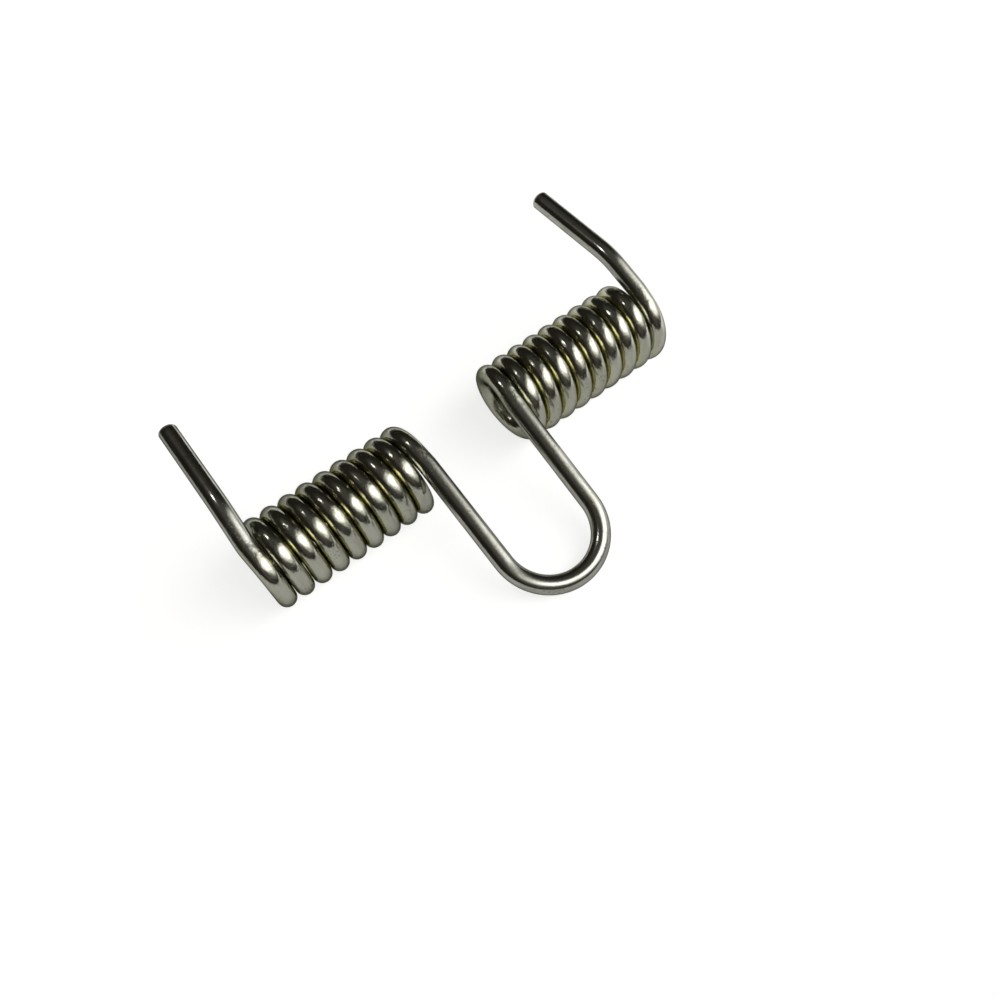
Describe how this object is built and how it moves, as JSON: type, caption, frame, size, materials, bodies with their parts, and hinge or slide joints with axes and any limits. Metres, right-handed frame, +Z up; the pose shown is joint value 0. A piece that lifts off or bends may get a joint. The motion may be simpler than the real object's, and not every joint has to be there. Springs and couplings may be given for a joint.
{
  "type": "double torsion spring",
  "caption": "Double torsion spring in round wire: close-wound coils of opposite hand joined by a U loop, with bent end legs.",
  "frame": {"origin": "on the coil axis, midway between the two coils", "axes": "+X along the coil axis, the loop towards -Y, the end legs towards +Y, +Z up as the spring lies on its coils and the end of its loop"},
  "size_m": [0.0632, 0.0448, 0.0161],
  "materials": {
    "plated_wire": "bright plated, polished"
  },
  "bodies": {
    "root": {"spring": "plated_wire"}
  },
  "joints": []
}
